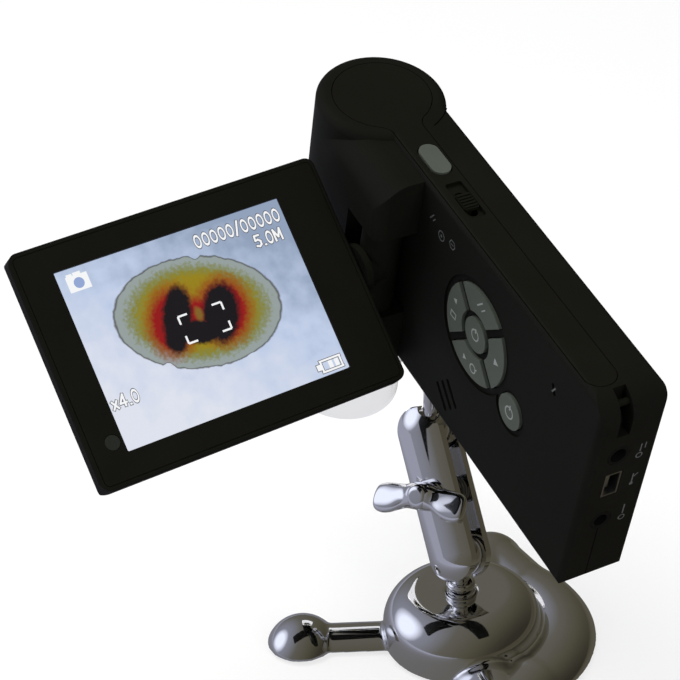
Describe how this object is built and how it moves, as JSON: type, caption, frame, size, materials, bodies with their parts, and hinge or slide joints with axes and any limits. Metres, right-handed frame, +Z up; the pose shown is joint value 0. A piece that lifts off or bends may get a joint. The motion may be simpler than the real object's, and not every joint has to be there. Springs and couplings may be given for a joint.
{
  "type": "lcd digital microscope",
  "caption": "Handheld digital microscope with a hinged swivelling screen, on a ball-jointed clamp stand with a lobed base.",
  "frame": {"origin": "middle of the stand's base, on the table", "axes": "+Z up from the table; the head leans toward +X in the X-Z plane, with its sockets at the +X end; the screen and keys face -Y"},
  "size_m": [0.1537, 0.141, 0.1551],
  "materials": {
    "front_housing": "matt",
    "rear_housing": "matt",
    "top_cover": "gloss",
    "case_screws": "satin",
    "strap_bar": "matt",
    "main_board": "matt",
    "battery": "gloss",
    "dome_switches": "satin",
    "key_up": "matt",
    "snapshot_switch": "matt",
    "slide_knob": "matt",
    "slide_switch": "matt",
    "speaker": "matt",
    "usb_socket": "satin",
    "lens_barrel": "anodised",
    "focus_ring": "matt",
    "lens_cell": "anodised",
    "objective_lens": "clear",
    "led_board": "gloss",
    "leds": "gloss",
    "light_shade": "clear",
    "tripod_bush": "satin",
    "hinge_pin": "satin",
    "hinge_knuckle": "matt",
    "screen_rear": "matt",
    "screen_front": "matt",
    "screen_window": "gloss",
    "display_module": "satin",
    "light_sensor": "matt",
    "upper_stud": "polished",
    "lock_disc": "matt",
    "plate_front": "polished",
    "clamp_spring": "satin",
    "base_feet": "matt"
  },
  "bodies": {
    "base": {"base_casting": "plate_front", "base_feet": "base_feet"},
    "lower_post": {"lower_stud": "upper_stud"},
    "arm": {"plate_front": "plate_front", "plate_rear": "plate_front", "clamp_bolt": "upper_stud", "clamp_washer": "upper_stud", "clamp_spring": "clamp_spring"},
    "wing": {"wing_nut": "plate_front"},
    "upper_post": {"upper_stud": "upper_stud", "lock_disc": "lock_disc"},
    "lid_hinge": {"hinge_knuckle": "hinge_knuckle", "swivel_shaft": "hinge_pin"},
    "screen": {"screen_rear": "screen_rear", "screen_front": "screen_front", "screen_window": "screen_window", "display_module": "display_module", "light_sensor": "light_sensor"},
    "focus_ring": {"focus_ring": "focus_ring"},
    "lens": {"lens_cell": "lens_cell", "objective_lens": "objective_lens"},
    "shade": {"light_shade": "light_shade"},
    "slide_knob": {"slide_knob": "slide_knob"},
    "key_up": {"key_up": "key_up"},
    "key_right": {"key_right": "key_up"},
    "key_down": {"key_down": "key_up"},
    "key_left": {"key_left": "key_up"},
    "ok_button": {"ok_button": "key_up"},
    "power_button": {"power_button": "key_up"},
    "snapshot_button": {"snapshot_button": "key_up"},
    "head": {"front_housing": "front_housing", "rear_housing": "rear_housing", "top_cover": "top_cover", "case_screws": "case_screws", "strap_bar": "strap_bar", "main_board": "main_board", "battery": "battery", "keypad_board": "main_board", "dome_switches": "dome_switches", "snapshot_switch": "snapshot_switch", "slide_switch": "slide_switch", "speaker": "speaker", "dc_jack": "snapshot_switch", "usb_socket": "usb_socket", "av_jack": "snapshot_switch", "lens_barrel": "lens_barrel", "sensor_board": "main_board", "led_board": "led_board", "leds": "leds", "tripod_bush": "tripod_bush", "hinge_pin": "hinge_pin"}
  },
  "joints": [
    {"name": "arm_turn", "type": "hinge", "parent": "base", "child": "lower_post", "pos_m": [0, 0, 0.028], "axis": [0, 0, 1], "continuous": true},
    {"name": "arm_tilt", "type": "hinge", "parent": "lower_post", "child": "arm", "pos_m": [0, 0, 0.028], "axis": [0.3799, -0.834, 0.4001], "range_deg": [-12, 12]},
    {"name": "wing_turn", "type": "hinge", "parent": "arm", "child": "wing", "pos_m": [-0.00681, -0.0067, 0.0455], "axis": [0.3799, -0.834, 0.4001], "continuous": true},
    {"name": "head_tilt", "type": "hinge", "parent": "arm", "child": "upper_post", "pos_m": [-0.02122, 0.00329, 0.055], "axis": [0.3799, -0.834, 0.4001], "range_deg": [-12, 12]},
    {"name": "head_turn", "type": "hinge", "parent": "upper_post", "child": "head", "pos_m": [-0.02122, 0.00329, 0.055], "axis": [0.3057, 0, 0.9521], "range_deg": [-90, 90]},
    {"name": "lid_open", "type": "hinge", "parent": "head", "child": "lid_hinge", "pos_m": [-0.01753, -0.01121, 0.11263], "axis": [0.3057, 0, 0.9521], "range_deg": [-4, 16]},
    {"name": "screen_swivel", "type": "hinge", "parent": "lid_hinge", "child": "screen", "pos_m": [-0.01753, -0.01121, 0.11263], "axis": [0.0664, -0.9976, -0.0213], "range_deg": [-149, 121]},
    {"name": "press_up", "type": "slide", "parent": "head", "child": "key_up", "axis": [0, 1, 0], "range_m": [0, 0.0006], "stiffness_N_per_m": 400, "springref_m": -0.001},
    {"name": "press_right", "type": "slide", "parent": "head", "child": "key_right", "axis": [0, 1, 0], "range_m": [0, 0.0006], "stiffness_N_per_m": 400, "springref_m": -0.001},
    {"name": "press_down", "type": "slide", "parent": "head", "child": "key_down", "axis": [0, 1, 0], "range_m": [0, 0.0006], "stiffness_N_per_m": 400, "springref_m": -0.001},
    {"name": "press_left", "type": "slide", "parent": "head", "child": "key_left", "axis": [0, 1, 0], "range_m": [0, 0.0006], "stiffness_N_per_m": 400, "springref_m": -0.001},
    {"name": "press_ok", "type": "slide", "parent": "head", "child": "ok_button", "axis": [0, 1, 0], "range_m": [0, 0.0006], "stiffness_N_per_m": 400, "springref_m": -0.001},
    {"name": "press_power", "type": "slide", "parent": "head", "child": "power_button", "axis": [0, 1, 0], "range_m": [0, 0.0006], "stiffness_N_per_m": 400, "springref_m": -0.001},
    {"name": "press_snapshot", "type": "slide", "parent": "head", "child": "snapshot_button", "axis": [-0.3057, 0, -0.9521], "range_m": [0, 0.0006], "stiffness_N_per_m": 400, "springref_m": -0.001},
    {"name": "switch_slide", "type": "slide", "parent": "head", "child": "slide_knob", "axis": [0.9521, 0, -0.3057], "range_m": [-0.0025, 0.0025]},
    {"name": "focus_turn", "type": "hinge", "parent": "head", "child": "focus_ring", "pos_m": [-0.05285, -0.00071, 0.08406], "axis": [0.3057, 0, 0.9521], "range_deg": [-90, 90]},
    {"name": "lens_slide", "type": "slide", "parent": "head", "child": "lens", "axis": [0.3057, 0, 0.9521], "range_m": [-0.0025, 0.0025]},
    {"name": "shade_pull", "type": "slide", "parent": "head", "child": "shade", "axis": [-0.3057, 0, -0.9521], "range_m": [0, 0.012]}
  ],
  "couplings": [
    {"joint": "focus_turn", "follows": "lens_slide", "rad_per_m": 625}
  ]
}
